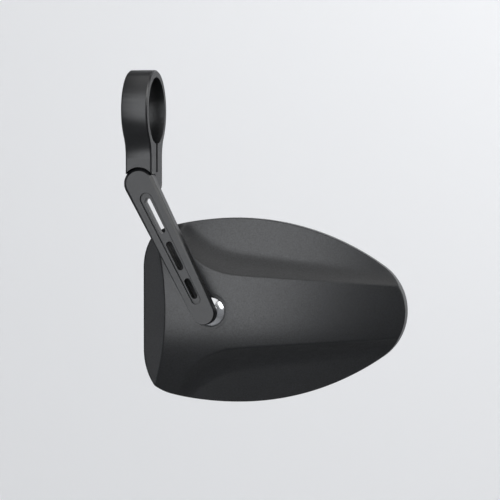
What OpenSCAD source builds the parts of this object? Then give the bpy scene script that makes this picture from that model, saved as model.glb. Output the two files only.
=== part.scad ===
// Handlebar mirror: a split clamp, a slotted swing arm and a teardrop head on a ball.
//
// Frame: the origin is the centre of the clamp bore, +X runs along the handlebar, +Y points
// from the arm through the head towards the rider, and +Z is up. Lengths are in millimetres.

/* [Handlebar clamp] */
// Diameter of the handlebar under the clamp
bar_d = 22.2; // [20:0.1:25]
// How much wider the open bore is than the bar
bar_clearance = 0.2; // [0.1:0.05:0.5]
// Wall of the clamp ring
ring_wall = 2.45; // [2:0.05:3.5]
// Width of the clamp along the handlebar
clamp_w = 9; // [8.4:0.1:12]
// Depth of the stem under the ring, front to back
stem_t = 15.2; // [14:0.1:18]
// Radius of the hollow where the ring runs into the stem
blend_r = 10; // [6:0.5:14]
// Width of the slit that lets the ring close
slit_w = 2; // [1:0.1:2.6]
// Break on the long edges of the clamp
edge_break = 0.5; // [0.2:0.1:0.8]
// Distance from the bar's centre down to the clamp screw
screw_drop = 16.5; // [16.3:0.1:17]
// Distance from the bar's centre down to the arm's pivot
pivot_drop = 24.5; // [24.3:0.1:28]

/* [Swing arm] */
// Distance from the pivot to the ball
arm_len = 48.6; // [44:0.2:60]
// Lean of the arm from straight down, as stored
arm_lean = 27; // [10:1:40]
// Thickness of the arm
arm_t = 4.8; // [4.4:0.1:6]
// Width of the arm at the pivot
arm_top_w = 10.4; // [9.6:0.1:12]
// Width of the arm at the ball
arm_end_w = 7.7; // [7.4:0.1:9]
// Width of the arm's front face at the pivot
face_top_w = 8.4; // [7.4:0.1:9]
// Width of the arm's front face at the ball
face_end_w = 7.2; // [6:0.1:7.2]
// Depth of the bevel round the front face
face_bevel = 1; // [0.4:0.1:1.4]
// Width of the sunk track at the pivot end
track_top_w = 4.3; // [3.4:0.1:5]
// Width of the sunk track at the ball end
track_end_w = 3.3; // [2.8:0.1:4]
// Depth of the sunk track
track_d = 0.7; // [0.3:0.1:1.2]
// Width of the three slots
slot_w = 2.15; // [1.4:0.05:2.6]
// Metal left between two slots
slot_web = 3.2; // [2:0.1:4.5]

/* [Ball joint] */
// Diameter of the polished ball
ball_d = 12; // [11:0.1:12.6]
// Diameter of the ball's neck
neck_d = 5.4; // [4.6:0.1:6]
// Diameter of the opening that the ball looks out of
mouth_d = 10.2; // [9.8:0.1:10.4]
// Gap between the ball and the edge of that opening
mouth_gap = 0.4; // [0.2:0.05:0.6]
// Gap between the back of the arm and the head
head_gap = 5.9; // [5:0.1:9]
// Wall of the plastic liner round the ball
liner_t = 0.97; // [0.8:0.01:1.2]
// Wall of the socket round the liner
socket_wall = 2.2; // [1.8:0.1:3]

/* [Head] */
// Length of the head
head_len = 91.6; // [84:0.2:104]
// Height of the head
head_h = 63; // [58:0.2:70]
// Distance from the blunt end to the ball
ball_inset = 26.9; // [24:0.1:32]
// Depth of the head from its crest to its rim
head_depth = 18.8; // [17.8:0.1:22]
// Radius of the two long sides
side_r = 87.6; // [80:0.2:110]
// Radius of the pointed end
tip_r = 18.8; // [14:0.2:22]
// Radius of the two blunt corners
corner_r = 15.2; // [12:0.2:18]
// Wall of the housing
wall = 1.8; // [1.4:0.1:2]
// Radius of the back along its length
barrel_r = 245; // [220:1:320]
// Radius of the back across its height
crown_r = 50; // [45:1:70]
// Distance from the blunt end to the crest of the back
crest_x = 14.8; // [10:0.2:20]
// Slope of the flat facet at the blunt end, in degrees
facet_angle = 54; // [48:1:60]
// Height of the rim left under that facet
facet_lip = 3.3; // [2.5:0.1:5]

/* [Coves] */
// Distance from the middle line to each crease
crease_z = 12.4; // [11:0.1:14]
// Distance from the blunt end to where the creases start to turn outwards
cove_x = 41.2; // [34:0.2:46]
// Radius on which each crease turns
cove_turn_r = 41.2; // [34:0.2:46]
// Height over the rim of the line that the coves are drawn from
cove_rise = 17.4; // [15:0.1:20]
// How far the coves fall back by the tip
cove_fall = 5.2; // [3:0.1:7]
// Steepness of the cove's wall, in degrees
cove_wall_angle = 52.5; // [44:0.5:56]
// Slope of the cove's floor, in degrees
cove_floor_angle = 17; // [12:1:20]
// Straight part of the cove's wall
cove_wall_len = 4.4; // [2:0.1:5]
// Radius between the cove's wall and its floor
cove_fillet = 10.8; // [8:0.2:14]
// How fast the two creases close in towards the tip, in degrees
cove_converge = 7.1; // [4:0.1:9]

/* [Mirror glass] */
// Radius of the convex glass
glass_r = 1200; // [800:50:2000]
// Thickness of the glass at its middle
glass_t = 2; // [1.8:0.1:2.2]
// How far the middle of the glass stands above the rim
glass_proud = 0.3; // [0.1:0.1:0.6]
// Thickness of the rubber seal round the glass
seal_t = 0.8; // [0.6:0.1:1.2]
// Width of the seal's lip behind the glass
seal_lip = 1.4; // [1:0.1:2]
// Thickness of the adhesive pad
pad_t = 0.6; // [0.5:0.1:0.8]
// Thickness of the glass carrier
carrier_t = 1.2; // [1:0.1:1.3]
// Distance from the rim of the head in to the edge of the carrier
carrier_inset = 6.5; // [6:0.1:9]

/* [Screws] */
// Diameter of the clamp screw and the pivot screw
m4_d = 4; // [3:0.1:4]
// Diameter of their heads
m4_head_d = 7; // [6:0.1:7.2]
// Height of their heads
m4_head_h = 2.4; // [2:0.1:2.6]
// Diameter of the small screws in the head
small_d = 2.2; // [1.8:0.1:2.4]
// Diameter of their countersunk heads
small_head_d = 4; // [3.6:0.1:4.2]
// Height of their countersunk heads
small_head_h = 1.1; // [0.9:0.1:1.2]

/* [Hidden] */

$fn = 96;
fine = 360;             // facets of the long, shallow arcs
eps = 0.01;
run_gap = 0.05;         // between two pieces that slide on each other
seat_gap = 0.03;        // between two spherical faces that turn on each other

// Clamp
bore_r = (bar_d + bar_clearance) / 2;
ring_r = bore_r + ring_wall;
stem_y = stem_t / 2;
blend_y = stem_y + blend_r;
blend_z = -sqrt(pow(ring_r + blend_r, 2) - blend_y * blend_y);
hollow_r = blend_r + eps;               // a hair more, so that the cut meets the ring
pivot_z = -pivot_drop;
screw_z = -screw_drop;
bushing_r = m4_d / 2 + 0.6;
slit_end = pivot_z + bushing_r + 1.2;
head_play = 0.2;        // between a screw head and its pocket
pocket_r = m4_head_d / 2 + head_play;

// Arm and pivot, front to back
arm_front = -stem_y;
arm_back = arm_front + arm_t;
friction_t = 0.5;
shoulder_r = arm_top_w / 2 + 0.3;
shoulder_y = arm_back + run_gap + friction_t;
spring_t = 0.7;
pivot_seat_y = stem_y - m4_head_h - spring_t - 0.1;
washer_t = 0.6;
clamp_seat_y = stem_y - m4_head_h - washer_t + 0.2;
thread_skin = 1.2;      // metal left in front of a blind thread
stud_washer_t = 0.6;
collar_t = 1.6;
collar_d = 7;

// Slots: each is shorter than the one above it
track_start = 3.6;
track_stop = arm_len - 3.6;
slot_margin = 2;
slot_room = track_stop - track_start - 2 * slot_margin - 2 * slot_web;
slot_share = [0.42, 0.34, 0.24];
function slot_from(i) = track_start + slot_margin
    + (i == 0 ? 0 : slot_from(i - 1) - track_start - slot_margin
       + slot_share[i - 1] * slot_room + slot_web);

// Ball and socket
ball_r = ball_d / 2;
mouth_r = mouth_d / 2;
ball_x = arm_len * sin(arm_lean);
ball_z = pivot_z - arm_len * cos(arm_lean);
face_y = arm_back + head_gap;
ball_y = face_y + sqrt(ball_r * ball_r - pow(mouth_r - mouth_gap, 2));
liner_r = ball_r + seat_gap + liner_t;
seat_r = liner_r + seat_gap;
socket_r = seat_r + socket_wall;
liner_tilt = 15;        // room for the liner to turn behind the mouth, in degrees
cup_skin = 1;
cup_back = ball_y + seat_r + cup_skin;
cup_spring_t = 0.8;
socket_end = cup_back + cup_spring_t;
plate_t = 1.2;
ear_r = 2.6;
ear_reach = socket_r + ear_r - 0.6;

// Head
left_x = ball_x - ball_inset;
crest_y = face_y - barrel_r + sqrt(pow(barrel_r, 2) - pow(ball_inset - crest_x, 2));
rim_y = crest_y + head_depth;
side_c = side_r - head_h / 2;
tip_x = head_len - tip_r;
wide_x = tip_x - sqrt(pow(side_r - tip_r, 2) - side_c * side_c);
corner_z = sqrt(pow(side_r - corner_r, 2) - pow(wide_x - corner_r, 2)) - side_c;
cove_z = crease_z + cove_turn_r;
cove_bend_r = (pow(head_len - cove_x, 2) + cove_fall * cove_fall) / (2 * cove_fall);

// Glass stack, rim to socket
glass_y = rim_y + glass_proud;
glass_back = glass_y - glass_t;
pad_back = glass_back - pad_t;
carrier_back = pad_back - carrier_t;
lip_t = 0.5;
lip_y = glass_back - lip_t;
seal_sink = 0.2;        // the seal ends this far below the rim
dome_steps = 12;
fit_gap = 0.15;
post_r = 2.6;
post_places = [[12, 17], [12, -17], [58, 6], [58, -6]];
screw_bite = 4;         // how deep the small screws reach into the housing
screw_room = 0.5;       // left under their points
plate_gap = 0.3;        // round the socket's plate in the carrier

// ---------------------------------------------------------------- helpers

// A round bar along +Y from y, r thick and h long
module rod(y, r, h, r2 = undef) {
    translate([0, y, 0])
        rotate([-90, 0, 0])
            cylinder(h = h, r1 = r, r2 = r2 == undef ? r : r2);
}

// An outline drawn in X and Z, made h thick from y backwards
module slab(y, h) {
    translate([0, y + h, 0])
        rotate([90, 0, 0])
            linear_extrude(h)
                children();
}

// Children placed on the pivot's axis, the clamp screw's axis or the ball's axis
module at_pivot() { translate([0, 0, pivot_z]) children(); }
module at_screw() { translate([0, 0, screw_z]) children(); }
module at_ball() { translate([ball_x, 0, ball_z]) children(); }
module at_head() { translate([left_x, 0, ball_z]) children(); }
module on_arm() { at_pivot() rotate([0, -arm_lean, 0]) children(); }

// A cap screw along Y: head towards +Y, shank towards -Y, hexagon socket in the head
module cap_screw(seat, tip, d, head_d, head_h) {
    difference() {
        union() {
            rod(seat, head_d / 2, head_h - 0.3);
            rod(seat + head_h - 0.3, head_d / 2, 0.3, head_d / 2 - 0.3);
            rod(tip + 0.4, d / 2, seat - tip - 0.4 + eps);
            rod(tip, d / 2 - 0.4, 0.4, d / 2);
        }
        translate([0, seat + head_h * 0.4, 0])
            rotate([-90, 0, 0])
                cylinder(h = head_h, r = d * 0.36, $fn = 6);
    }
}

// A countersunk screw along Y with its head towards +Y, flush at top
module flush_screw(top, tip) {
    difference() {
        union() {
            rod(top - small_head_h, small_d / 2, small_head_h, small_head_d / 2);
            rod(tip, small_d / 2, top - small_head_h - tip + eps);
        }
        translate([0, top - small_head_h * 0.6, 0])
            rotate([-90, 0, 0])
                cylinder(h = small_head_h, r = small_d * 0.32, $fn = 6);
    }
}

module countersink(top) {
    rod(top - small_head_h, small_d / 2 + 0.1, small_head_h + eps, small_head_d / 2 + 0.1);
}

// ---------------------------------------------------------------- clamp

// Children turned about X: their x is the radius and their y runs along X
module turned_about_x() {
    rotate([0, 90, 0])
        rotate_extrude($fn = fine)
            children();
}

// Disc of the ring with the break on both of its rims, before it is bored
module ring_disc() {
    half = clamp_w / 2;
    turned_about_x()
        polygon([[0, -half], [ring_r - edge_break, -half], [ring_r, edge_break - half],
                 [ring_r, half - edge_break], [ring_r - edge_break, half], [0, half]]);
}

// Spool that cuts one hollow between the ring and the stem, and the break along it
module hollow_spool() {
    half = clamp_w / 2;
    turned_about_x()
        polygon([[0, -half - 1], [hollow_r + edge_break + 1, -half - 1],
                 [hollow_r, edge_break - half], [hollow_r, half - edge_break],
                 [hollow_r + edge_break + 1, half + 1], [0, half + 1]]);
}

// Stem below the ring, with a hollow on both sides
module stem() {
    difference() {
        translate([-clamp_w / 2, 0, 0])
            rotate([90, 0, 90])
                linear_extrude(clamp_w)
                    polygon([[0, 0], [blend_y, blend_z], [stem_y, blend_z], [stem_y, pivot_z],
                             [-stem_y, pivot_z], [-stem_y, blend_z], [-blend_y, blend_z]]);
        for (face = [-1, 1])
            translate([0, face * blend_y, blend_z])
                hollow_spool();
    }
}

// Takes the break off the four long edges of the stem, up to the hollows
module stem_breaks() {
    for (side = [-1, 1])
        for (face = [-1, 1])
            translate([side * clamp_w / 2, face * stem_y, pivot_z - clamp_w])
                rotate([0, 0, 45])
                    translate([-edge_break / sqrt(2), -edge_break / sqrt(2), 0])
                        cube([edge_break * sqrt(2), edge_break * sqrt(2),
                              blend_z - pivot_z + clamp_w]);
}

module clamp_body() {
    color("#2c2e30")
    difference() {
        union() {
            ring_disc();
            stem();
            at_pivot()
                rod(-stem_y, clamp_w / 2, stem_t);
        }
        stem_breaks();
        rotate([0, 90, 0])
            cylinder(h = 2 * clamp_w, r = bore_r, center = true, $fn = fine);
        translate([-clamp_w, -slit_w / 2, slit_end])
            cube([2 * clamp_w, slit_w, -slit_end]);
        at_pivot() {
            rod(-stem_y - 1, shoulder_r, shoulder_y + stem_y + 1);
            rod(-stem_y, bushing_r, stem_t);
            rod(pivot_seat_y, pocket_r, stem_t);
        }
        at_screw() {
            rod(arm_front + thread_skin, m4_d / 2, stem_y);
            rod(0, m4_d / 2 + head_play, stem_y);
            rod(clamp_seat_y, pocket_r, stem_t);
        }
    }
}

module clamp_screw() {
    color("#1d1e20")
    at_screw()
        cap_screw(clamp_seat_y + washer_t, arm_front + thread_skin + 0.2, m4_d, m4_head_d, m4_head_h);
}

module clamp_washer() {
    color("#8d9094")
    at_screw()
        difference() {
            rod(clamp_seat_y, m4_head_d / 2, washer_t);
            rod(clamp_seat_y - 1, m4_d / 2, washer_t + 2);
        }
}

// ---------------------------------------------------------------- pivot

module pivot_bushing() {
    color("#b08d57")
    at_pivot()
        difference() {
            rod(shoulder_y, bushing_r, pivot_seat_y - shoulder_y);
            rod(shoulder_y - 1, m4_d / 2 + run_gap, stem_t);
        }
}

module friction_disc() {
    color("#d8d6cf")
    at_pivot()
        difference() {
            rod(shoulder_y - friction_t, clamp_w / 2 - 0.2, friction_t);
            rod(shoulder_y - 1, m4_d / 2 + run_gap, 2);
        }
}

module pivot_screw() {
    color("#1d1e20")
    at_pivot()
        cap_screw(pivot_seat_y + spring_t, arm_front + thread_skin + 0.2, m4_d, m4_head_d, m4_head_h);
}

// A conical spring washer that keeps the pivot stiff
module pivot_spring() {
    color("#8d9094")
    at_pivot()
        translate([0, pivot_seat_y, 0])
            rotate([-90, 0, 0])
                rotate_extrude()
                    polygon([[m4_d / 2 + run_gap, spring_t - 0.4], [m4_d / 2 + run_gap, spring_t],
                             [m4_head_d / 2 - 0.1, 0.4], [m4_head_d / 2 - 0.1, run_gap]]);
}

// ---------------------------------------------------------------- arm

// A bar with round ends, w1 wide at from and w2 wide at to, both measured down from the pivot
module taper_bar(from, to, w1, w2) {
    lean = asin((w1 - w2) / 2 / (to - from));
    union() {
        translate([0, -from])
            circle(w1 / 2);
        translate([0, -to])
            circle(w2 / 2);
        polygon([for (end = [[from, w1, 1], [to, w2, 1], [to, w2, -1], [from, w1, -1]])
                     [end[2] * end[1] / 2 * cos(lean), -end[0] - end[1] / 2 * sin(lean)]]);
    }
}

module arm() {
    color("#36383b")
    on_arm()
        difference() {
            hull() {
                slab(arm_front + face_bevel, arm_t - face_bevel)
                    taper_bar(0, arm_len, arm_top_w, arm_end_w);
                slab(arm_front, face_bevel)
                    taper_bar(0, arm_len, face_top_w, face_end_w);
            }
            slab(arm_front - 1, track_d + 1)
                taper_bar(track_start + track_top_w / 2, track_stop - track_end_w / 2,
                          track_top_w, track_end_w);
            for (i = [0 : len(slot_share) - 1])
                slab(arm_front - 1, arm_t + 2)
                    taper_bar(slot_from(i) + slot_w / 2,
                              slot_from(i) + slot_share[i] * slot_room - slot_w / 2,
                              slot_w, slot_w);
            rod(arm_front + thread_skin, m4_d / 2, arm_t);
            translate([0, 0, -arm_len])
                rod(arm_front + thread_skin, m4_d / 2, arm_t);
        }
}

// ---------------------------------------------------------------- ball joint

module stud_washer() {
    color("#8d9094")
    at_ball()
        difference() {
            rod(arm_back, collar_d / 2, stud_washer_t);
            rod(arm_back - 1, m4_d / 2, stud_washer_t + 2);
        }
}

module ball_stud() {
    color("#e8eaec")
    at_ball() {
        rod(arm_front + thread_skin + 0.2, m4_d / 2, arm_t);
        difference() {
            rod(arm_back + stud_washer_t, collar_d / 2, collar_t);
            for (flat = [0 : 60 : 300])
                rotate([0, flat, 0])
                    translate([collar_d / 2 * 0.92, arm_back, -collar_d])
                        cube([collar_d, collar_t + 2, 2 * collar_d]);
        }
        rod(arm_back + stud_washer_t, neck_d / 2, ball_y - arm_back - stud_washer_t);
        translate([0, ball_y, 0])
            sphere(ball_r);
    }
}

// Ball of radius r turned about Y
module turned_ball(r) {
    rotate([-90, 0, 0])
        rotate_extrude()
            intersection() {
                circle(r);
                translate([0, -r])
                    square([r, 2 * r]);
            }
}

// Part of the spherical liner between two distances from the ball's centre along Y
module liner_zone(from, to) {
    at_ball()
        intersection() {
            translate([0, ball_y, 0])
                difference() {
                    turned_ball(liner_r);
                    turned_ball(ball_r + seat_gap);
                }
            rod(ball_y + from, 2 * liner_r, to - from);
        }
}

module front_liner() {
    mouth_angle = asin(mouth_r / seat_r) + liner_tilt;
    color("#1b1c1d")
        liner_zone(-liner_r * cos(mouth_angle), -0.1);
}

module rear_liner() {
    color("#1b1c1d")
        liner_zone(0.1, liner_r - 1);
}

// Presses the liner forwards; its back carries the cup spring
module rear_cup() {
    color("#d8d6cf")
    at_ball()
        difference() {
            rod(ball_y + 2, seat_r - run_gap, cup_back - ball_y - 2);
            translate([0, ball_y, 0])
                turned_ball(seat_r);
        }
}

module cup_spring() {
    color("#8d9094")
    at_ball()
        translate([0, cup_back, 0])
            rotate([-90, 0, 0])
                rotate_extrude()
                    polygon([[2.6, cup_spring_t - 0.4], [2.6, cup_spring_t],
                             [seat_r - 0.5, 0.4], [seat_r - 0.5, 0]]);
}

// Children repeated round the ball at the retainer's three ears
module at_ears() {
    at_ball()
        for (turn = [90, 210, 330])
            translate([ear_reach * cos(turn), 0, ear_reach * sin(turn)])
                children();
}

// The plate's outline with its three ears, drawn out by grow, from y and h thick
module plate_form(y, h, grow) {
    at_ball()
        rod(y, socket_r + grow, h);
    at_ears()
        rod(y, ear_r + grow, h);
}

module retainer_plate() {
    color("#9a9da1")
    difference() {
        plate_form(socket_end, plate_t, 0);
        at_ears() {
            rod(socket_end - 1, small_d / 2 + 0.1, plate_t + 2);
            countersink(socket_end + plate_t);
        }
    }
}

module retainer_screws() {
    color("#8d9094")
    at_ears()
        flush_screw(socket_end + plate_t, socket_end - screw_bite);
}

// ---------------------------------------------------------------- head

// Points of an arc from one angle to another, both ends included
function arc(centre, r, from, to, steps) =
    [for (i = [0 : steps]) let (a = from + (to - from) * i / steps)
        centre + r * [cos(a), sin(a)]];

// Outline of the head, drawn from its blunt end along X and about its middle line: the two
// blunt corners, the two long sides and the pointed end are arcs that run into each other
module head_outline(inset = 0) {
    side_tip = atan2(side_c, tip_x - wide_x);
    side_corner = atan2(corner_z + side_c, corner_r - wide_x);
    upper = concat(arc([tip_x, 0], tip_r - inset, 0, side_tip, 10),
                   arc([wide_x, -side_c], side_r - inset, side_tip, side_corner, 20),
                   arc([corner_r, corner_z], corner_r - inset, side_corner, 180, 12));
    lower = [for (i = [len(upper) - 1 : -1 : 1]) [upper[i][0], -upper[i][1]]];
    polygon([for (i = [0 : len(upper) + len(lower) - 1])
                 let (at = i < len(upper) ? upper[i] : lower[i - len(upper)],
                      before = i == 0 ? lower[len(lower) - 1]
                             : i <= len(upper) ? upper[i - 1] : lower[i - 1 - len(upper)])
                 if (norm(at - before) > eps) at]);
}

// The head's back before it is carved: curved along its length and across its height
module barrel(inset) {
    turn = asin((head_len + 10 - crest_x) / barrel_r);
    back = asin((crest_x + 10) / barrel_r);
    translate([crest_x, crest_y + barrel_r, 0])
        rotate([0, 0, -90 - back])
            rotate_extrude(angle = turn + back, $fn = fine)
                translate([barrel_r - crown_r, 0])
                    circle(crown_r - inset, $fn = fine);
}

// Section of a cove: r from the centre that its crease turns about, v out from the crest
module cove_section(grow) {
    crease_v = sqrt(crown_r * crown_r - crease_z * crease_z) - crown_r;
    wall_in = [cos(cove_wall_angle), sin(cove_wall_angle)];
    wall_out = [sin(cove_wall_angle), -cos(cove_wall_angle)];
    floor_out = [sin(cove_floor_angle), -cos(cove_floor_angle)];
    centre = [cove_turn_r, crease_v] - cove_wall_len * wall_in - cove_fillet * wall_out;
    reach = cove_fillet + grow;
    wall_foot = centre + reach * wall_out;
    floor_start = centre + reach * floor_out;
    wall_top = wall_foot + 16 * wall_in;
    union() {
        polygon([[0, floor_start[1] - floor_start[0] * tan(cove_floor_angle)],
                 floor_start, centre, wall_foot, wall_top, [0, wall_top[1]]]);
        intersection() {
            translate(centre)
                circle(reach, $fn = fine);
            polygon([centre, centre + 2 * reach * floor_out,
                     centre + 2 * reach * (floor_out + wall_out), centre + 2 * reach * wall_out]);
        }
    }
}

// Children in the frame that the lower cove is cut in, which starts at the centre of its turn
module in_cove() {
    translate([cove_x, rim_y - cove_rise, -cove_z])
        rotate([0, -cove_converge, 0])
            children();
}

// What the turn of the lower cove takes away
module cove_turn(grow) {
    in_cove()
        rotate([90, 0, 0])
            rotate([0, 0, 90])
                rotate_extrude(angle = 180, $fn = fine)
                    cove_section(grow);
}

// What the run of the lower cove takes away, falling on a long radius to past the tip
module cove_run(grow) {
    in_cove()
        translate([0, cove_bend_r, 0])
            rotate([0, 0, -90])
                rotate_extrude(angle = asin(head_len / cove_bend_r), $fn = fine)
                    translate([cove_bend_r, 0])
                        rotate([0, 0, 90])
                            mirror([0, 1])
                                cove_section(grow);
}

module facet(grow) {
    translate([0, rim_y - facet_lip, 0])
        rotate([0, 0, -facet_angle])
            translate([-head_h, grow - head_h, -head_h])
                cube([2 * head_h, head_h, 2 * head_h]);
}

// The head's outer form, drawn in from every face but the rim by inset
module head_form(inset, top) {
    difference() {
        intersection() {
            slab(crest_y - 1, top - crest_y + 1)
                head_outline(inset);
            barrel(inset);
        }
        facet(inset);
        cove_turn(inset);
        cove_run(inset);
        mirror([0, 0, 1])
            cove_turn(inset);
        mirror([0, 0, 1])
            cove_run(inset);
    }
}

module posts(r, from, to) {
    for (place = post_places)
        translate([place[0], 0, place[1]])
            rod(from, r, to - from);
}

module housing_shell() {
    color("#3a3c3e")
    difference() {
        at_head()
            head_form(0, rim_y);
        difference() {
            at_head()
                head_form(wall, rim_y + 1);
            at_ball()
                rod(crest_y, socket_r, socket_end - crest_y);
            at_ears()
                rod(crest_y, ear_r, socket_end - crest_y);
            at_head()
                posts(post_r, crest_y, carrier_back);
        }
        at_head()
            slab(lip_y, head_depth)
                head_outline(wall);
        at_ball() {
            rod(crest_y - 1, mouth_r, ball_y - crest_y);
            rod(ball_y, seat_r, head_depth);
            translate([0, ball_y, 0])
                turned_ball(seat_r);
        }
        at_ears()
            rod(socket_end - screw_bite - screw_room, small_d / 2, screw_bite + 1);
        at_head()
            posts(small_d / 2, carrier_back - screw_bite - screw_room, carrier_back + 1);
    }
}

module glass_carrier() {
    color("#232425")
    difference() {
        at_head()
            difference() {
                slab(carrier_back, carrier_t)
                    head_outline(carrier_inset);
                posts(small_d / 2 + 0.1, carrier_back - 1, rim_y);
                for (place = post_places)
                    translate([place[0], 0, place[1]])
                        countersink(pad_back);
            }
        plate_form(carrier_back - 1, carrier_t + 2, plate_gap);
    }
}

module carrier_screws() {
    color("#8d9094")
    at_head()
        for (place = post_places)
            translate([place[0], 0, place[1]])
                flush_screw(pad_back, carrier_back - screw_bite);
}

module glass_pad() {
    color("#55585a")
    at_head()
        slab(pad_back, pad_t)
            head_outline(wall + seal_t + seal_lip + fit_gap);
}

// Rubber seal: a band round the edge of the glass and a thin lip behind it
module rim_seal() {
    color("#151617")
    at_head()
        difference() {
            slab(lip_y, rim_y - seal_sink - lip_y)
                head_outline(wall);
            slab(glass_back, head_depth)
                head_outline(wall + seal_t);
            slab(crest_y, head_depth)
                head_outline(wall + seal_t + seal_lip);
        }
}

// Slightly domed glass with a flat silvered back
module mirror_glass() {
    dome = [for (i = [0:dome_steps])
            let (r = i * head_len / 2 / dome_steps)
            [r, glass_y - glass_r + sqrt(glass_r * glass_r - r * r)]];
    color("#c9d3da")
    at_head()
        intersection() {
            slab(glass_back, glass_t + 1)
                head_outline(wall + seal_t);
            translate([head_len / 2, 0, 0])
                rotate([-90, 0, 0])
                    rotate_extrude()
                        polygon(concat(dome, [[head_len / 2, crest_y], [0, crest_y]]));
        }
}

clamp_body();
clamp_screw();
clamp_washer();
pivot_bushing();
friction_disc();
pivot_screw();
pivot_spring();
arm();
stud_washer();
ball_stud();
front_liner();
rear_liner();
rear_cup();
cup_spring();
retainer_plate();
retainer_screws();
housing_shell();
glass_carrier();
carrier_screws();
glass_pad();
rim_seal();
mirror_glass();
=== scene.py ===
"""Looks for the handlebar mirror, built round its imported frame.

Everything is in metres in the frame of the clamp's bore: +X along the handlebar, +Y
from the arm through the head towards the rider, and +Z up. Sizes of pieces are held in
millimetres, as on a drawing, and are turned to metres when a mesh is made.
"""

import logging
import math
from dataclasses import dataclass, field
from enum import Enum
from typing import Any, Optional, Sequence

import bmesh
import bpy
import numpy as np
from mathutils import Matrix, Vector


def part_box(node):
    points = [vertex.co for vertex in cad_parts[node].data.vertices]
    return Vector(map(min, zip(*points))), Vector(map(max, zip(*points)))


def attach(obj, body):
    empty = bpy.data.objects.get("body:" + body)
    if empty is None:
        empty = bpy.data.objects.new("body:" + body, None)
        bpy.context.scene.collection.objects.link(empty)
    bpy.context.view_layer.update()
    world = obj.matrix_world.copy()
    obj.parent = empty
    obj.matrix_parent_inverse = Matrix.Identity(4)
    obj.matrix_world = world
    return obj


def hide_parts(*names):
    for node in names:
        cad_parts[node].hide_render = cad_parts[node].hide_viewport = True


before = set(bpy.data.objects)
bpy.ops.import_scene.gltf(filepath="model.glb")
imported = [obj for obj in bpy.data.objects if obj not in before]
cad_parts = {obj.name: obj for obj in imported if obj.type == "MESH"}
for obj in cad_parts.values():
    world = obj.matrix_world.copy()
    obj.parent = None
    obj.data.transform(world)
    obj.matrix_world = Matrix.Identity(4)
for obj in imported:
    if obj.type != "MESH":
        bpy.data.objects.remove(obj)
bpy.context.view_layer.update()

log = logging.getLogger("handlebar_mirror")

MM = 0.001

# the middle span of a noise pattern, which is spread over a finish's own range
NOISE_SPAN = {"From Min": 0.3, "From Max": 0.7}


# ------------------------------------------------------------------ small tools


def linear(hex_colour: str) -> tuple[float, float, float, float]:
    """Turns an sRGB hex colour to linear light.

    Args:
        hex_colour: Six hex digits, with or without a leading #.

    Returns:
        Red, green, blue and an alpha of 1.
    """
    digits = hex_colour.lstrip("#")
    channels = [int(digits[i : i + 2], 16) / 255 for i in (0, 2, 4)]
    low_high = [
        c / 12.92 if c <= 0.04045 else ((c + 0.055) / 1.055) ** 2.4 for c in channels
    ]
    return (*low_high, 1.0)


def per_metre(size_mm: float) -> float:
    """Gives the texture scale whose pattern repeats about every size_mm."""
    return 1.0 / (size_mm * MM)


def add_node(
    tree: bpy.types.NodeTree,
    kind: str,
    settings: Optional[dict[str, Any]] = None,
    inputs: Optional[dict[Any, Any]] = None,
) -> bpy.types.Node:
    """Adds one shader node.

    Args:
        tree: The node tree that it goes into.
        kind: The node's Blender type.
        settings: Values of the node's own properties.
        inputs: What goes into each input: a socket to link, or a value.

    Returns:
        The new node.
    """
    node = tree.nodes.new(kind)
    for name, value in (settings or {}).items():
        setattr(node, name, value)
    for name, value in (inputs or {}).items():
        if isinstance(value, bpy.types.NodeSocket):
            tree.links.new(value, node.inputs[name])
        else:
            node.inputs[name].default_value = value
    return node


def mesh_object(
    name: str, verts: Sequence[Sequence[float]], faces: Sequence[Sequence[int]]
) -> bpy.types.Object:
    """Makes an object from points in millimetres.

    Args:
        name: The object's name.
        verts: Points in millimetres, in the row frame.
        faces: Corners of each face.

    Returns:
        The object, linked to the scene.
    """
    mesh = bpy.data.meshes.new(name)
    scaled = np.asarray(verts, float) * MM
    mesh.from_pydata(scaled.tolist(), [], [list(f) for f in faces])
    mesh.update()
    piece = bpy.data.objects.new(name, mesh)
    bpy.context.scene.collection.objects.link(piece)
    return piece


def face_outward(piece: bpy.types.Object, weld_mm: float = 0.0) -> None:
    """Turns every face of a closed mesh outwards.

    Args:
        piece: The object whose mesh is set right.
        weld_mm: Points closer than this are joined first, unless it is 0.
    """
    shape = bmesh.new()
    shape.from_mesh(piece.data)
    if weld_mm > 0:
        bmesh.ops.remove_doubles(shape, verts=shape.verts, dist=weld_mm * MM)
    bmesh.ops.recalc_face_normals(shape, faces=shape.faces)
    shape.to_mesh(piece.data)
    shape.free()


# ------------------------------------------------------------------ finishes


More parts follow.
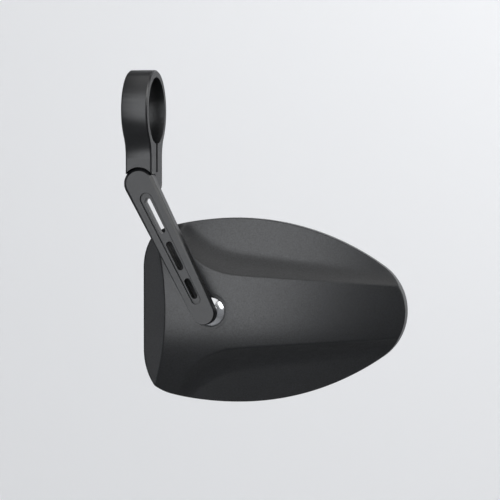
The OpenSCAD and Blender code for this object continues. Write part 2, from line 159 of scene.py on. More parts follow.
@dataclass(frozen=True)
class BlastedAnodising:
    """Bead-blasted, black anodised aluminium: a dark dyed oxide with a soft, grainy sheen."""

    name: str
    colour: str
    roughness: float
    # one pit of the blasting; real pits are about 0.1 mm, drawn coarser so that they show
    grain_mm: float
    # how far the colour swings from pit to pit
    speckle: float
    # depth of the pits
    depth_mm: float = 0.012
    # how much of that depth the bump shows
    pit_strength: float = 0.6
    # how far the roughness swings from pit to pit
    rough_swing: float = 0.05
    # size of the slow, cloudy change that the dye bath leaves, and how far it swings
    cloud_mm: float = 18.0
    cloud_swing: float = 0.04

    def material(self) -> bpy.types.Material:
        """Builds the material: speckled colour, uneven roughness and pitted bump."""
        material, tree, shader, place = start_material(self.name)
        grain = add_node(
            tree,
            "ShaderNodeTexNoise",
            inputs={
                "Vector": place,
                "Scale": per_metre(self.grain_mm),
                "Detail": 2.0,
                "Roughness": 0.55,
            },
        )
        cloud = add_node(
            tree,
            "ShaderNodeTexNoise",
            inputs={"Vector": place, "Scale": per_metre(self.cloud_mm), "Detail": 1.0},
        )
        swing = add_node(
            tree,
            "ShaderNodeMapRange",
            inputs={
                "Value": grain.outputs["Fac"],
                **NOISE_SPAN,
                "To Min": 1.0 - self.speckle,
                "To Max": 1.0 + self.speckle,
            },
        )
        drift = add_node(
            tree,
            "ShaderNodeMapRange",
            inputs={
                "Value": cloud.outputs["Fac"],
                **NOISE_SPAN,
                "To Min": 1.0 - self.cloud_swing,
                "To Max": 1.0 + self.cloud_swing,
            },
        )
        both = add_node(
            tree,
            "ShaderNodeMath",
            {"operation": "MULTIPLY"},
            {0: swing.outputs["Result"], 1: drift.outputs["Result"]},
        )
        tint = add_node(
            tree,
            "ShaderNodeVectorMath",
            {"operation": "SCALE"},
            {0: linear(self.colour)[:3], "Scale": both.outputs["Value"]},
        )
        rough = add_node(
            tree,
            "ShaderNodeMapRange",
            inputs={
                "Value": grain.outputs["Fac"],
                **NOISE_SPAN,
                "To Min": self.roughness + self.rough_swing,
                "To Max": self.roughness - self.rough_swing,
            },
        )
        pits = add_node(
            tree,
            "ShaderNodeBump",
            inputs={
                "Height": grain.outputs["Fac"],
                "Distance": self.depth_mm * MM,
                "Strength": self.pit_strength,
            },
        )
        tree.links.new(tint.outputs["Vector"], shader.inputs["Base Color"])
        tree.links.new(rough.outputs["Result"], shader.inputs["Roughness"])
        tree.links.new(pits.outputs["Normal"], shader.inputs["Normal"])
        shader.inputs["Metallic"].default_value = 0.0
        shader.inputs["IOR"].default_value = 1.5
        return material


class SteelLook(Enum):
    """How a steel or bronze piece was finished."""

    POLISHED = "polished"
    PLATED = "plated"
    OXIDE = "black oxide"
    SINTERED = "sintered"


@dataclass(frozen=True)
class MetalFinish:
    """Bare or plated metal: the surface reflects in its own colour."""

    name: str
    colour: str
    look: SteelLook
    roughness: float
    # spacing of the tool marks, or size of the pores
    mark_mm: float
    mark_depth_mm: float = 0.002
    # how much of that depth the bump shows, and the share that the roughness swings
    mark_strength: float = 0.5
    rough_share: float = 0.2

    def material(self) -> bpy.types.Material:
        """Builds the material: tool marks or pores in the bump and the roughness."""
        material, tree, shader, place = start_material(self.name)
        # plating and oxide keep the marks of the tool, which are drawn out along Y
        stretch = {
            SteelLook.POLISHED: (1, 1, 1),
            SteelLook.PLATED: (1, 0.12, 1),
            SteelLook.OXIDE: (1, 0.3, 1),
            SteelLook.SINTERED: (1, 1, 1),
        }[self.look]
        mapped = add_node(
            tree, "ShaderNodeMapping", inputs={"Vector": place, "Scale": stretch}
        )
        marks = add_node(
            tree,
            "ShaderNodeTexNoise",
            inputs={
                "Vector": mapped.outputs["Vector"],
                "Scale": per_metre(self.mark_mm),
                "Detail": 3.0,
            },
        )
        rough = add_node(
            tree,
            "ShaderNodeMapRange",
            inputs={
                "Value": marks.outputs["Fac"],
                **NOISE_SPAN,
                "To Min": self.roughness * (1.0 - self.rough_share),
                "To Max": self.roughness * (1.0 + self.rough_share),
            },
        )
        bump = add_node(
            tree,
            "ShaderNodeBump",
            inputs={
                "Height": marks.outputs["Fac"],
                "Distance": self.mark_depth_mm * MM,
                "Strength": self.mark_strength,
            },
        )
        tree.links.new(rough.outputs["Result"], shader.inputs["Roughness"])
        tree.links.new(bump.outputs["Normal"], shader.inputs["Normal"])
        shader.inputs["Base Color"].default_value = linear(self.colour)
        shader.inputs["Metallic"].default_value = 1.0
        return material


@dataclass(frozen=True)
class MouldedPolymer:
    """Plastic or rubber from a mould: the spark-eroded texture of the tool shows."""

    name: str
    colour: str
    roughness: float
    texture_mm: float
    depth_mm: float
    ior: float = 1.5
    # how much of that depth the bump shows, and how far the colour is mottled
    texture_strength: float = 0.5
    mottle_swing: float = 0.08

    def material(self) -> bpy.types.Material:
        """Builds the material: a fine even texture and a slightly mottled colour."""
        material, tree, shader, place = start_material(self.name)
        texture = add_node(
            tree,
            "ShaderNodeTexNoise",
            inputs={
                "Vector": place,
                "Scale": per_metre(self.texture_mm),
                "Detail": 2.0,
            },
        )
        mottle = add_node(
            tree,
            "ShaderNodeMapRange",
            inputs={
                "Value": texture.outputs["Fac"],
                **NOISE_SPAN,
                "To Min": 1.0 - self.mottle_swing,
                "To Max": 1.0 + self.mottle_swing,
            },
        )
        tint = add_node(
            tree,
            "ShaderNodeVectorMath",
            {"operation": "SCALE"},
            {0: linear(self.colour)[:3], "Scale": mottle.outputs["Result"]},
        )
        bump = add_node(
            tree,
            "ShaderNodeBump",
            inputs={
                "Height": texture.outputs["Fac"],
                "Distance": self.depth_mm * MM,
                "Strength": self.texture_strength,
            },
        )
        tree.links.new(tint.outputs["Vector"], shader.inputs["Base Color"])
        tree.links.new(bump.outputs["Normal"], shader.inputs["Normal"])
        shader.inputs["Roughness"].default_value = self.roughness
        shader.inputs["IOR"].default_value = self.ior
        return material


@dataclass(frozen=True)
class SilveredGlass:
    """Float glass silvered on its back: a sharp reflection under a clear skin."""

    name: str
    colour: str
    # length and height of the polishing waves, drawn higher than the real ones, which are
    # about a micrometre
    wave_mm: float = 30.0
    wave_height_mm: float = 0.02
    wave_strength: float = 0.3

    def material(self) -> bpy.types.Material:
        """Builds the material: bright silver, a clear coat and faint polishing waves."""
        material, tree, shader, place = start_material(self.name)
        waves = add_node(
            tree,
            "ShaderNodeTexNoise",
            inputs={"Vector": place, "Scale": per_metre(self.wave_mm), "Detail": 0.0},
        )
        bump = add_node(
            tree,
            "ShaderNodeBump",
            inputs={
                "Height": waves.outputs["Fac"],
                "Distance": self.wave_height_mm * MM,
                "Strength": self.wave_strength,
            },
        )
        tree.links.new(bump.outputs["Normal"], shader.inputs["Normal"])
        shader.inputs["Base Color"].default_value = linear(self.colour)
        shader.inputs["Metallic"].default_value = 1.0
        shader.inputs["Roughness"].default_value = 0.015
        shader.inputs["Coat Weight"].default_value = 1.0
        shader.inputs["Coat Roughness"].default_value = 0.01
        return material


def start_material(
    name: str,
) -> tuple[
    bpy.types.Material,
    bpy.types.NodeTree,
    bpy.types.Node,
    bpy.types.NodeSocket,
]:
    """Starts a material with its main shader and its place in the row frame.

    Args:
        name: The material's name.

    Returns:
        The material, its node tree, its Principled shader and the object coordinates.
    """
    material = bpy.data.materials.new(name)
    material.use_nodes = True
    tree = material.node_tree
    shader = tree.nodes["Principled BSDF"]
    place = add_node(tree, "ShaderNodeTexCoord").outputs["Object"]
    return material, tree, shader, place


Finish = BlastedAnodising | MetalFinish | MouldedPolymer | SilveredGlass

CLAMP_BLACK = BlastedAnodising("anodised_clamp", "#0c0d0f", 0.37, 0.22, 0.05)
ARM_BLACK = BlastedAnodising("anodised_arm", "#0c0d0f", 0.38, 0.22, 0.05)
HEAD_BLACK = BlastedAnodising("anodised_head", "#0f1012", 0.35, 0.5, 0.95, 0.025)
BALL_CHROME = MetalFinish("chrome_ball", "#d5d6d8", SteelLook.POLISHED, 0.2, 3.0, 0.0005)
BLACK_SCREW = MetalFinish("black_oxide_steel", "#3a3b3d", SteelLook.OXIDE, 0.38, 0.4)
ZINC_STEEL = MetalFinish("zinc_plated_steel", "#b4b6b8", SteelLook.PLATED, 0.3, 0.3)
SPRING_STEEL = MetalFinish("spring_steel", "#9a9c9e", SteelLook.PLATED, 0.28, 0.25)
BUSH_BRONZE = MetalFinish("sintered_bronze", "#b08a5a", SteelLook.SINTERED, 0.5, 0.15, 0.01)
LINER_NYLON = MouldedPolymer("moulded_nylon", "#1d1e1f", 0.45, 0.3, 0.004)
CUP_ACETAL = MouldedPolymer("moulded_acetal", "#d6d3ca", 0.35, 0.3, 0.003, 1.48)
DISC_ACETAL = MouldedPolymer("cut_acetal", "#cfccc2", 0.4, 0.25, 0.003, 1.48)
CARRIER_ABS = MouldedPolymer("moulded_abs", "#27282a", 0.5, 0.4, 0.006, 1.53)
PAD_FOAM = MouldedPolymer("adhesive_foam", "#5a5d60", 0.85, 0.5, 0.02)
SEAL_RUBBER = MouldedPolymer("moulded_rubber", "#1a1b1c", 0.6, 0.35, 0.006, 1.52)
MIRROR = SilveredGlass("silvered_glass", "#e6eaec")


class Wardrobe:
    """Makes each finish once and puts it on pieces."""

    def __init__(self) -> None:
        """Starts with nothing made."""
        self.made: dict[str, bpy.types.Material] = {}

    def dress(self, piece: bpy.types.Object, finish: Finish) -> None:
        """Gives a piece one finish all over.

        Args:
            piece: A mesh object.
            finish: What it is made of.
        """
        if finish.name not in self.made:
            self.made[finish.name] = finish.material()
        slots = piece.data.materials
        slots.clear()
        slots.append(self.made[finish.name])

    def dress_node(self, node: str, finish: Finish) -> None:
        """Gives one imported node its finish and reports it."""
        self.dress(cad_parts[node], finish)
        log.info("dressed %s as %s", node, finish.name)


# ------------------------------------------------------------------ the head's form


@dataclass(frozen=True)
class HeadForm:
    """Sizes of the head in millimetres, and the shape that follows from them.

    x runs from the blunt end to the tip, z from the middle line up, and y is the row
    frame's +Y.
    """

    # centre of the ball in the row frame, and how far it is from the blunt end
    ball: tuple[float, float, float] = (22.064, 6.8296, -67.8031)
    ball_inset: float = 26.9
    # overall size, and the arcs of the outline
    length: float = 91.6
    height: float = 63.0
    depth: float = 18.8
    side_r: float = 87.6
    tip_r: float = 18.8
    corner_r: float = 15.2
    wall: float = 1.8
    # the back: its curves along and across, its crest, and the facet that cuts it
    barrel_r: float = 245.0
    crown_r: float = 50.0
    crest_x: float = 14.8
    facet_angle: float = 54.0
    facet_lip: float = 3.3
    # the coves: where their creases lie, and the section and the fall of each
    crease_z: float = 12.4
    cove_x: float = 41.2
    cove_turn_r: float = 41.2
    cove_rise: float = 17.4
    cove_fall: float = 5.2
    cove_wall_angle: float = 52.5
    cove_floor_angle: float = 17.0
    cove_wall_len: float = 4.4
    cove_fillet: float = 10.8
    cove_converge: float = 7.1
    # Y of the flat round the ball's mouth, and the mouth's radius
    face_y: float = 3.1
    mouth_r: float = 5.1
    # how far the rows' middle line stays inside the outline's end centres
    spine_margin: float = 1.0
    # how far a crease is rounded over by the blasting
    crease_blend: float = 0.4

    @property
    def left(self) -> float:
        """X of the blunt end in the row frame."""
        return self.ball[0] - self.ball_inset

    @property
    def crest_y(self) -> float:
        """Y of the head's foremost line."""
        reach = self.ball_inset - self.crest_x
        return self.face_y - self.barrel_r + math.sqrt(self.barrel_r**2 - reach**2)

    @property
    def rim_y(self) -> float:
        """Y of the rim round the glass."""
        return self.crest_y + self.depth

    def barrel(self, x: np.ndarray, z: np.ndarray) -> np.ndarray:
        """Gives Y of the doubly curved back before it is carved."""
        across = np.sqrt(np.maximum(self.crown_r**2 - z**2, 0.0))
        reach = self.barrel_r - self.crown_r + across
        fall = np.sqrt(reach**2 - (x - self.crest_x) ** 2)
        return self.crest_y + self.barrel_r - fall

    def facet(self, x: np.ndarray) -> np.ndarray:
        """Gives Y of the flat facet at the blunt end."""
        return self.rim_y - self.facet_lip - x * math.tan(math.radians(self.facet_angle))

    def cove_section(self, r: np.ndarray) -> np.ndarray:
        """Gives how far out a cove's section stands at distance r from its centre."""
        wall = math.radians(self.cove_wall_angle)
        floor = math.radians(self.cove_floor_angle)
        crease_v = math.sqrt(self.crown_r**2 - self.crease_z**2) - self.crown_r
        foot_r = self.cove_turn_r - self.cove_wall_len * math.cos(wall)
        foot_v = crease_v - self.cove_wall_len * math.sin(wall)
        centre_r = foot_r - self.cove_fillet * math.sin(wall)
        centre_v = foot_v + self.cove_fillet * math.cos(wall)
        floor_r = centre_r + self.cove_fillet * math.sin(floor)
        floor_v = centre_v - self.cove_fillet * math.cos(floor)
        round_v = centre_v - np.sqrt(
            np.maximum(self.cove_fillet**2 - (r - centre_r) ** 2, 0.0)
        )
        return np.where(
            r < floor_r,
            floor_v + (r - floor_r) * math.tan(floor),
            np.where(r > foot_r, foot_v + (r - foot_r) * math.tan(wall), round_v),
        )

    def cove(self, x: np.ndarray, z: np.ndarray) -> np.ndarray:
        """Gives Y of the lower cove: a turn about its centre, then a long falling run."""
        turn = math.radians(self.cove_converge)
        bend_r = ((self.length - self.cove_x) ** 2 + self.cove_fall**2) / (
            2 * self.cove_fall
        )
        dx = x - self.cove_x
        dz = z + self.crease_z + self.cove_turn_r
        along = dx * math.cos(turn) + dz * math.sin(turn)
        across = dz * math.cos(turn) - dx * math.sin(turn)
        r = np.where(along > 0, across, np.hypot(along, across))
        out = self.cove_section(r)
        run = np.maximum(along, 0.0)
        fall = bend_r - np.sqrt((bend_r + out) ** 2 - run**2)
        return self.rim_y - self.cove_rise + np.where(along > 0, fall, -out)

    def blend_max(self, a: np.ndarray, b: np.ndarray) -> np.ndarray:
        """Gives the higher of two surfaces, with the ridge between them rounded."""
        near = np.maximum(self.crease_blend - np.abs(a - b), 0.0) / self.crease_blend
        return np.maximum(a, b) + near**2 * self.crease_blend / 4

    def face(self, x: np.ndarray, z: np.ndarray) -> np.ndarray:
        """Gives Y of the carved front of the head."""
        y = self.barrel(x, z)
        for cut in (self.facet(x), self.cove(x, z), self.cove(x, -z)):
            y = self.blend_max(y, cut)
        return y

    def outline(self, inset: float) -> tuple[np.ndarray, np.ndarray]:
        """Gives the outline as points all the way round.

        Args:
            inset: How far the outline is drawn in.

        Returns:
            Points of the outline, and the points on the middle line that they face.
        """
        side_c = self.side_r - self.height / 2
        tip_x = self.length - self.tip_r
        wide_x = tip_x - math.sqrt((self.side_r - self.tip_r) ** 2 - side_c**2)
        corner_z = (
            math.sqrt(
                (self.side_r - self.corner_r) ** 2 - (wide_x - self.corner_r) ** 2
            )
            - side_c
        )
        side_tip = math.atan2(side_c, tip_x - wide_x)
        side_corner = math.atan2(corner_z + side_c, self.corner_r - wide_x)
        parts = []
        for centre, radius, start, stop, steps in (
            ((tip_x, 0.0), self.tip_r - inset, 0.0, side_tip, 60),
            ((wide_x, -side_c), self.side_r - inset, side_tip, side_corner, 150),
            ((self.corner_r, corner_z), self.corner_r - inset, side_corner, math.pi, 44),
        ):
            angle = np.linspace(start, stop, steps + 1)[:-1]
            parts.append(
                np.stack(
                    [
                        centre[0] + radius * np.cos(angle),
                        centre[1] + radius * np.sin(angle),
                    ],
                    axis=1,
                )
            )
        flat = np.linspace(corner_z, 0.0, 34)[:, None]
        parts.append(np.concatenate([np.full_like(flat, inset), flat], axis=1))
        upper = np.concatenate(parts)
        lower = upper[-2:0:-1] * [1.0, -1.0]
        rim = np.concatenate([upper, lower])
        low, high = self.corner_r + self.spine_margin, tip_x - self.spine_margin
        spine = np.clip(rim[:, 0], low, high)
        return rim, np.stack([spine, np.zeros_like(spine)], axis=1)


# ------------------------------------------------------------------ sub-assemblies


# softened copies: points this close are one, faces this flat to each other are joined, and
# edges sharper than this are rounded in so many steps
COPY_WELD_MM = 0.002
COPY_FLAT_DEG = 0.4
COPY_SHARP_DEG = 20
COPY_ROUND_STEPS = 3


def rounded_copy(
    node: str, name: str, body: str, edge_mm: float
) -> bpy.types.Object:
    """Makes a copy of a machined node whose sharp edges are softened.

    Args:
        node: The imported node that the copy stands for.
        name: The copy's name.
        body: The body that it rides on.
        edge_mm: Width of the softened edge.

    Returns:
        The copy, which replaces the node.
    """
    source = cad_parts[node]
    piece = bpy.data.objects.new(name, source.data.copy())
    bpy.context.scene.collection.objects.link(piece)
    shape = bmesh.new()
    shape.from_mesh(piece.data)
    bmesh.ops.remove_doubles(shape, verts=shape.verts, dist=COPY_WELD_MM * MM)
    bmesh.ops.dissolve_limit(
        shape,
        angle_limit=math.radians(COPY_FLAT_DEG),
        verts=shape.verts,
        edges=shape.edges,
        delimit=set(),
    )
    shape.to_mesh(piece.data)
    shape.free()
    soften = piece.modifiers.new("soften", "BEVEL")
    soften.width = edge_mm * MM
    soften.segments = COPY_ROUND_STEPS
    soften.limit_method = "ANGLE"
    soften.angle_limit = math.radians(COPY_SHARP_DEG)
    soften.harden_normals = True
    soften.use_clamp_overlap = True
    graph = bpy.context.evaluated_depsgraph_get()
    result = bpy.data.meshes.new_from_object(piece.evaluated_get(graph))
    piece.modifiers.clear()
    piece.data = result
    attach(piece, body)
    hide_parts(node)
    log.info("softened %s: %d faces", name, len(result.polygons))
    return piece


@dataclass
class ClampGroup:
    """The split ring clamp with its screw, and the parts of the pivot that stay with it."""

    wardrobe: Wardrobe
    body: str = "clamp"
    edge_mm: float = 0.16
    finishes: dict[str, Finish] = field(
        default_factory=lambda: {
            "clamp_screw": BLACK_SCREW,
            "clamp_washer": ZINC_STEEL,
            "pivot_bushing": BUSH_BRONZE,
            "friction_disc": DISC_ACETAL,
        }
    )

    def build(self) -> None:
        """Softens the clamp's edges and dresses its nodes."""
        ring = rounded_copy(
            "clamp_body", "clamp_ring", self.body, self.edge_mm
        )
        self.wardrobe.dress(ring, CLAMP_BLACK)
        for node, finish in self.finishes.items():
            self.wardrobe.dress_node(node, finish)


@dataclass
class ArmGroup:
    """The slotted arm with its pivot screw and the polished ball stud."""

    wardrobe: Wardrobe
    body: str = "arm"
    edge_mm: float = 0.14
    # the pivot's height, and how far the arm leans from straight down
    pivot_z: float = -24.5
    lean_deg: float = 27.0
    # the sunk track: depth, and distance from the pivot and radius at each end
    track_depth: float = 0.7
    track_from: float = 5.75
    track_to: float = 43.35
    track_top_r: float = 2.15
    track_end_r: float = 1.65
    # the cutter's groove that runs round the foot of the track's wall
    groove_w: float = 0.36
    groove_depth: float = 0.3
    # how far the cutter reaches past the track's wall and over its floor
    cutter_side: float = 0.03
    cutter_rise: float = 0.1
    end_steps: int = 24
    finishes: dict[str, Finish] = field(
        default_factory=lambda: {
            "pivot_screw": BLACK_SCREW,
            "pivot_spring": SPRING_STEEL,
            "stud_washer": ZINC_STEEL,
            "ball_stud": BALL_CHROME,
        }
    )

    def track_line(self, grow: float) -> list[tuple[float, float]]:
        """Gives the outline of the track.

        Args:
            grow: How far outside the track's wall the line runs, in millimetres.

        Returns:
            Points across and along the arm, in millimetres from the pivot.
        """
        run = self.track_to - self.track_from
        skew = math.asin((self.track_top_r - self.track_end_r) / run)
        ends = (
            (self.track_from, self.track_top_r + grow, -skew),
            (self.track_to, self.track_end_r + grow, math.pi + skew),
        )
        points = []
        for along, radius, start in ends:
            sweep = math.pi + 2 * skew if start < 0 else math.pi - 2 * skew
            for i in range(self.end_steps + 1):
                turn = start + sweep * i / self.end_steps
                points.append(
                    (radius * math.cos(turn), radius * math.sin(turn) - along)
                )
        return points

    def cut_groove(self, bar: bpy.types.Object) -> None:
        """Cuts the narrow groove at the foot of the track's wall.

        Args:
            bar: The arm, which is cut.
        """
        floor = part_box("arm")[0][1] / MM + self.track_depth
        lean = math.radians(self.lean_deg)
        loops = []
        for grow in (self.cutter_side, -self.groove_w):
            for y in (floor - self.cutter_rise, floor + self.groove_depth):
                loops.append(
                    [
                        (
                            u * math.cos(lean) - w * math.sin(lean),
                            y,
                            u * math.sin(lean) + w * math.cos(lean) + self.pivot_z,
                        )
                        for u, w in self.track_line(grow)
                    ]
                )
        count = len(loops[0])
        faces = []
        for i in range(count):
            j = (i + 1) % count
            for a, b in ((0, 1), (1, 3), (3, 2), (2, 0)):
                faces.append(
                    (a * count + i, a * count + j, b * count + j, b * count + i)
                )
        cutter = mesh_object("groove_cutter", sum(loops, []), faces)
        face_outward(cutter)
        apply_boolean(bar, cutter)

    def build(self) -> None:
        """Softens the arm's edges, cuts its groove and dresses its nodes."""
        bar = rounded_copy("arm", "swing_arm", self.body, self.edge_mm)
        self.cut_groove(bar)
        self.wardrobe.dress(bar, ARM_BLACK)
        for node, finish in self.finishes.items():
            self.wardrobe.dress_node(node, finish)


@dataclass
class SocketGroup:
    """The liner and the sprung cup that hold the ball."""

    wardrobe: Wardrobe
    finishes: dict[str, Finish] = field(
        default_factory=lambda: {
            "front_liner": LINER_NYLON,
            "rear_liner": LINER_NYLON,
            "rear_cup": CUP_ACETAL,
            "cup_spring": SPRING_STEEL,
        }
    )

    def build(self) -> None:
        """Dresses the socket's nodes."""
        for node, finish in self.finishes.items():
            self.wardrobe.dress_node(node, finish)


@dataclass
class HeadGroup:
    """The head: its carved housing, the glass and what carries them."""

    wardrobe: Wardrobe
    form: HeadForm = field(default_factory=HeadForm)
    body: str = "head"
    # rows of faces from the middle line out to the edge of the carved front
    rows: int = 140
    # round where the carved front turns into the side wall
    edge_r: float = 0.45
    # round at the rim, and how far inside the rim the hollow's back stops
    rim_r: float = 0.3
    rim_lip: float = 1.0
    # points closer than this are one, and edges sharper than this stay sharp
    weld_mm: float = 0.004
    sharp_deg: float = 38.0
    # the ball's mouth: break on its edge, reach of the cut before and behind, and sides
    mouth_break: float = 0.5
    mouth_before: float = 4.0
    mouth_behind: float = 9.0
    mouth_sides: int = 128
    finishes: dict[str, Finish] = field(
        default_factory=lambda: {
            "retainer_plate": ZINC_STEEL,
            "retainer_screws": ZINC_STEEL,
            "glass_carrier": CARRIER_ABS,
            "carrier_screws": ZINC_STEEL,
            "glass_pad": PAD_FOAM,
            "rim_seal": SEAL_RUBBER,
        }
    )
    # radius that the convex glass is ground to
    glass_r: float = 1200.0

    def place(self, plan: np.ndarray, y: np.ndarray) -> np.ndarray:
        """Moves points from the head's own plan to the row frame, in millimetres."""
        return np.stack(
            [plan[:, 0] + self.form.left, y, plan[:, 1] + self.form.ball[2]], axis=1
        )

    def front_rows(self) -> list[np.ndarray]:
        """Gives the rings of points of the carved front, from the middle line out."""
        form = self.form
        rim, spine = form.outline(self.edge_r)
        rows = []
        for t in np.linspace(0.0, 1.0, self.rows):
            plan = spine + (rim - spine) * t
            rows.append(self.place(plan, form.face(plan[:, 0], plan[:, 1])))
        return rows

    def wall_rows(self) -> list[np.ndarray]:
        """Gives the rings over the edge, down the side wall and over the rim."""
        form = self.form
        rows = []
        edge, _ = form.outline(self.edge_r)
        start = form.face(edge[:, 0], edge[:, 1])
        for angle in (22.5, 45.0, 67.5, 90.0):
            turn = math.radians(angle)
            plan, _ = form.outline(self.edge_r * (1 - math.sin(turn)))
            rows.append(self.place(plan, start + self.edge_r * (1 - math.cos(turn))))
        outer, _ = form.outline(0.0)
        base = start + self.edge_r
        stop = form.rim_y - self.rim_r
        for share in (0.25, 0.5, 0.75, 1.0):
            rows.append(self.place(outer, base + (stop - base) * share))
        for angle in (30.0, 60.0, 90.0):
            turn = math.radians(angle)
            plan, _ = form.outline(self.rim_r * (1 - math.cos(turn)))
            rows.append(
                self.place(
                    plan,
                    np.full(len(plan), form.rim_y - self.rim_r * (1 - math.sin(turn))),
                )
            )
        return rows

    def inside_rows(self) -> list[np.ndarray]:
        """Gives the rings down the inside of the wall and across the back of the front."""
        form = self.form
        inner, spine = form.outline(form.wall)
        rows = [self.place(inner, np.full(len(inner), form.rim_y))]
        for t in (1.0, 0.9, 0.75, 0.6, 0.45, 0.3, 0.15, 0.0):
            plan = spine + (inner - spine) * t
            skin = form.face(plan[:, 0], plan[:, 1]) + form.wall
            rows.append(self.place(plan, np.minimum(skin, form.rim_y - self.rim_lip)))
        return rows

    def housing(self) -> bpy.types.Object:
        """Builds the housing as one closed shell with the ball's mouth cut through it.

        Returns:
            The housing, riding on the head.
        """
        rings = self.front_rows() + self.wall_rows() + self.inside_rows()
        count = len(rings[0])
        faces = []
        for row in range(len(rings) - 1):
            for i in range(count):
                j = (i + 1) % count
                faces.append(
                    (
                        row * count + i,
                        row * count + j,
                        (row + 1) * count + j,
                        (row + 1) * count + i,
                    )
                )
        piece = mesh_object("head_housing", np.concatenate(rings), faces)
        face_outward(piece, self.weld_mm)
        self.cut_mouth(piece)
        piece.data.shade_smooth()
        piece.data.set_sharp_from_angle(angle=math.radians(self.sharp_deg))
        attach(piece, self.body)
        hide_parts("housing_shell")
        self.wardrobe.dress(piece, HEAD_BLACK)
        log.info("built head_housing with %d faces", len(piece.data.polygons))
        return piece

    def cut_mouth(self, piece: bpy.types.Object) -> None:
        """Cuts the opening that the ball looks out of, with a small break on its edge."""
        form = self.form
        # radius and distance behind the flat face
        profile = [
            (form.mouth_r + self.mouth_break + self.mouth_before, -self.mouth_before),
            (form.mouth_r + self.mouth_break, 0.0),
            (form.mouth_r, self.mouth_break),
            (form.mouth_r, self.mouth_behind),
        ]
        steps = self.mouth_sides
        points, faces = [], []
        for i in range(steps):
            turn = 2 * math.pi * i / steps
            for r, y in profile:
                points.append(
                    (
                        form.ball[0] + r * math.cos(turn),
                        form.face_y + y,
                        form.ball[2] + r * math.sin(turn),
                    )
                )
        width = len(profile)
        for i in range(steps):
            j = (i + 1) % steps
            for k in range(width - 1):
                faces.append(
                    (i * width + k, i * width + k + 1, j * width + k + 1, j * width + k)
                )
        faces.append([i * width for i in range(steps)])
        faces.append([i * width + width - 1 for i in reversed(range(steps))])
        cutter = mesh_object("mouth_cutter", points, faces)
        face_outward(cutter)
        apply_boolean(piece, cutter)

    def lens(self) -> None:
        """Gives the convex glass the true normals of its sphere, so it mirrors cleanly."""
        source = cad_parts["mirror_glass"]
        piece = bpy.data.objects.new("convex_glass", source.data.copy())
        bpy.context.scene.collection.objects.link(piece)
        mesh = piece.data
        highest = max((v.co for v in mesh.vertices), key=lambda co: co.y)
        centre = highest - Vector((0.0, self.glass_r * MM, 0.0))
        normals = []
        for face in mesh.polygons:
            face.use_smooth = True
            for corner in face.vertices:
                outward = (mesh.vertices[corner].co - centre).normalized()
                normals.append(outward if face.normal.y > 0.9 else face.normal.copy())
        mesh.normals_split_custom_set(normals)
        self.wardrobe.dress(piece, MIRROR)
        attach(piece, self.body)
        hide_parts("mirror_glass")
        log.info("ground the glass: %d faces", len(mesh.polygons))

    def build(self) -> None:
        """Builds the housing and the glass, and dresses the head's other nodes."""
        self.housing()
        self.lens()
        for node, finish in self.finishes.items():
            self.wardrobe.dress_node(node, finish)


def apply_boolean(piece: bpy.types.Object, cutter: bpy.types.Object) -> None:
    """Cuts one object out of another and removes the cutter.

    Args:
        piece: What is cut.
        cutter: A closed object, which is deleted.
    """
    cut = piece.modifiers.new("cut", "BOOLEAN")
    cut.operation = "DIFFERENCE"
    cut.solver = "EXACT"
    cut.object = cutter
    graph = bpy.context.evaluated_depsgraph_get()
    result = bpy.data.meshes.new_from_object(piece.evaluated_get(graph))
    piece.modifiers.clear()
    piece.data = result
    bpy.data.objects.remove(cutter)


# ------------------------------------------------------------------ studio


@dataclass(frozen=True)
class SoftBox:
    """One area lamp: where it stands, how large it is and how strong."""

    name: str
    place: tuple[float, float, float]
    size: tuple[float, float]
    watts: float
    aim: tuple[float, float, float] = (0.034, 0.005, -0.05)
    # full angle of the grid that keeps the light off what is beside it
    grid_angle: float = 180.0
    colour: str = "#ffffff"

    def build(self) -> None:
        """Makes the lamp and turns it to its aim."""
        lamp = bpy.data.lights.new(self.name, "AREA")
        lamp.shape = "RECTANGLE"
        lamp.size, lamp.size_y = self.size
        lamp.energy = self.watts
        lamp.spread = math.radians(self.grid_angle)
        lamp.color = linear(self.colour)[:3]
        holder = bpy.data.objects.new(self.name, lamp)
        holder.location = self.place
        direction = Vector(self.aim) - Vector(self.place)
        holder.rotation_euler = direction.to_track_quat("-Z", "Y").to_euler()
        holder.visible_camera = False
        bpy.context.scene.collection.objects.link(holder)


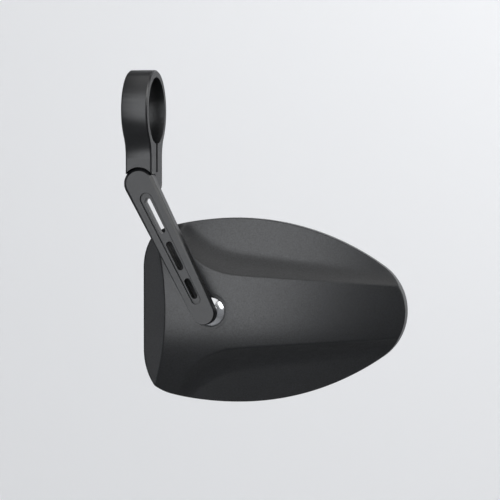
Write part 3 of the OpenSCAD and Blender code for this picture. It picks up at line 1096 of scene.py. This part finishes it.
@dataclass
class Studio:
    """The plain floor, the lamps and the camera."""

    # point that the middle of the picture looks at
    target: tuple[float, float, float] = (0.0355, 0.005, -0.0469)
    azimuth: float = 12.0
    elevation: float = 2.0
    lens_mm: float = 180.0
    distance: float = 0.842
    sensor_mm: float = 36.0
    # the paper bowl, in metres: floor, rings and outer radius of its level part, radius of
    # the bend, height of the wall
    floor_z: float = -0.9
    bowl_rings: tuple[float, float] = (0.02, 0.4)
    bowl_flat: float = 1.3
    bowl_bend: float = 0.5
    bowl_top: float = 2.9
    bowl_sides: int = 96
    bend_steps: int = 24
    # the paper on the floor and on the wall, the light that it is shown with, its fibres
    floor_colour: str = "#9fa0a2"
    wall_colour: str = "#bdbec0"
    shown_colour: str = "#f6f7f9"
    fibre_mm: float = 2.0
    fibre_swing: float = 0.015
    air_strength: float = 0.01
    # how much paler the backdrop is shown, where 1 is white, and the share of it that
    # reflections see
    backdrop_lift: float = 0.4
    mirrored_share: float = 0.25
    boxes: tuple[SoftBox, ...] = (
        SoftBox("front_box", (-0.1, -1.09, 0.185), (0.72, 1.55), 12.9, colour="#f9fbfe"),
        SoftBox("top_box", (0.1, -0.15, 0.95), (0.9, 1.5), 5.2, (0.1, 0.0, -0.05)),
        SoftBox("right_box", (0.93, -0.073, 0.58), (0.5, 0.7), 1.9, grid_angle=100.0),
        SoftBox("wall_wash", (0.6, 0.3, 1.2), (1.0, 0.4), 13.5, (0.5, 1.8, 0.45), 100.0),
    )

    def camera(self) -> None:
        """Sets the camera on its long lens."""
        turn, lift = math.radians(self.azimuth), math.radians(self.elevation)
        back = Vector(
            (
                math.sin(turn) * math.cos(lift),
                -math.cos(turn) * math.cos(lift),
                math.sin(lift),
            )
        )
        data = bpy.data.cameras.new("camera")
        data.lens = self.lens_mm
        data.sensor_width = self.sensor_mm
        holder = bpy.data.objects.new("camera", data)
        holder.location = Vector(self.target) + back * self.distance
        holder.rotation_euler = (-back).to_track_quat("-Z", "Y").to_euler()
        bpy.context.scene.collection.objects.link(holder)
        bpy.context.scene.camera = holder

    def paper(self) -> bpy.types.Material:
        """Builds the pale paper: faint fibres, a shade paler on the wall than on the floor."""
        material, tree, shader, place = start_material("pale_paper")
        fibre = add_node(
            tree,
            "ShaderNodeTexNoise",
            inputs={"Vector": place, "Scale": per_metre(self.fibre_mm), "Detail": 2.0},
        )
        shade = add_node(
            tree,
            "ShaderNodeMapRange",
            inputs={
                "Value": fibre.outputs["Fac"],
                "To Min": 1.0 - self.fibre_swing,
                "To Max": 1.0,
            },
        )
        # the change from floor to wall runs through the bend
        height = add_node(tree, "ShaderNodeSeparateXYZ", inputs={"Vector": place})
        rise = add_node(
            tree,
            "ShaderNodeMapRange",
            {"interpolation_type": "SMOOTHSTEP"},
            {
                "Value": height.outputs["Z"],
                "From Min": self.floor_z,
                "From Max": self.floor_z + self.bowl_bend,
            },
        )
        sheet = add_node(
            tree,
            "ShaderNodeMix",
            {"data_type": "RGBA"},
            {
                0: rise.outputs["Result"],
                6: linear(self.floor_colour),
                7: linear(self.wall_colour),
            },
        )
        tint = add_node(
            tree,
            "ShaderNodeVectorMath",
            {"operation": "SCALE"},
            {0: sheet.outputs[2], "Scale": shade.outputs["Result"]},
        )
        # the backdrop is shown paler than the lamps make it, and reflections follow
        path = add_node(tree, "ShaderNodeLightPath")
        through = add_node(
            tree,
            "ShaderNodeMath",
            {"operation": "ADD"},
            {
                0: path.outputs["Is Camera Ray"],
                1: path.outputs["Is Transmission Ray"],
            },
        )
        seen = add_node(
            tree,
            "ShaderNodeMath",
            {"operation": "MULTIPLY_ADD"},
            {
                0: path.outputs["Is Glossy Ray"],
                1: self.mirrored_share,
                2: through.outputs["Value"],
            },
        )
        glow = add_node(
            tree,
            "ShaderNodeMath",
            {"operation": "MULTIPLY"},
            {0: seen.outputs["Value"], 1: self.backdrop_lift},
        )
        tree.links.new(glow.outputs["Value"], shader.inputs["Emission Strength"])
        shader.inputs["Emission Color"].default_value = linear(self.shown_colour)
        tree.links.new(tint.outputs["Vector"], shader.inputs["Base Color"])
        shader.inputs["Roughness"].default_value = 0.9
        return material

    def floor(self) -> None:
        """Lays the pale floor, which curves up into a wall all round the object."""
        flat, bend, sides = self.bowl_flat, self.bowl_bend, self.bowl_sides
        profile = [(r, 0.0) for r in (*self.bowl_rings, flat)]
        for i in range(1, self.bend_steps + 1):
            turn = math.radians(90 * i / self.bend_steps)
            profile.append((flat + bend * math.sin(turn), bend * (1 - math.cos(turn))))
        profile.append((flat + bend, self.bowl_top))
        verts, faces = [], []
        for i in range(sides):
            turn = 2 * math.pi * i / sides
            for r, z in profile:
                verts.append(
                    (
                        r / MM * math.cos(turn),
                        r / MM * math.sin(turn),
                        (z + self.floor_z) / MM,
                    )
                )
        rows = len(profile)
        for i in range(sides):
            j = (i + 1) % sides
            for k in range(rows - 1):
                faces.append(
                    (i * rows + k, j * rows + k, j * rows + k + 1, i * rows + k + 1)
                )
        # the middle face is wound like the rings round it
        faces.append([i * rows for i in reversed(range(sides))])
        sheet = mesh_object("floor", verts, faces)
        sheet.data.shade_smooth()
        sheet.data.materials.append(self.paper())

    def air(self) -> None:
        """Sets a dim, even world."""
        world = bpy.data.worlds.new("studio_air")
        world.use_nodes = True
        sky = world.node_tree.nodes["Background"]
        sky.inputs["Color"].default_value = linear("#ffffff")
        sky.inputs["Strength"].default_value = self.air_strength
        bpy.context.scene.world = world

    def build(self) -> None:
        """Makes the whole studio."""
        self.floor()
        self.air()
        for box in self.boxes:
            box.build()
        self.camera()
        bpy.context.scene.view_settings.view_transform = "Standard"
        log.info("built the studio with %d lamps", len(self.boxes))


# ------------------------------------------------------------------ the whole mirror


def main() -> None:
    """Builds the mirror from the bar outwards, then the studio round it."""
    logging.basicConfig(level=logging.INFO, format="%(message)s")
    wardrobe = Wardrobe()
    for group in (ClampGroup, ArmGroup, SocketGroup, HeadGroup):
        group(wardrobe).build()
    Studio().build()


if __name__ == "__main__":
    main()
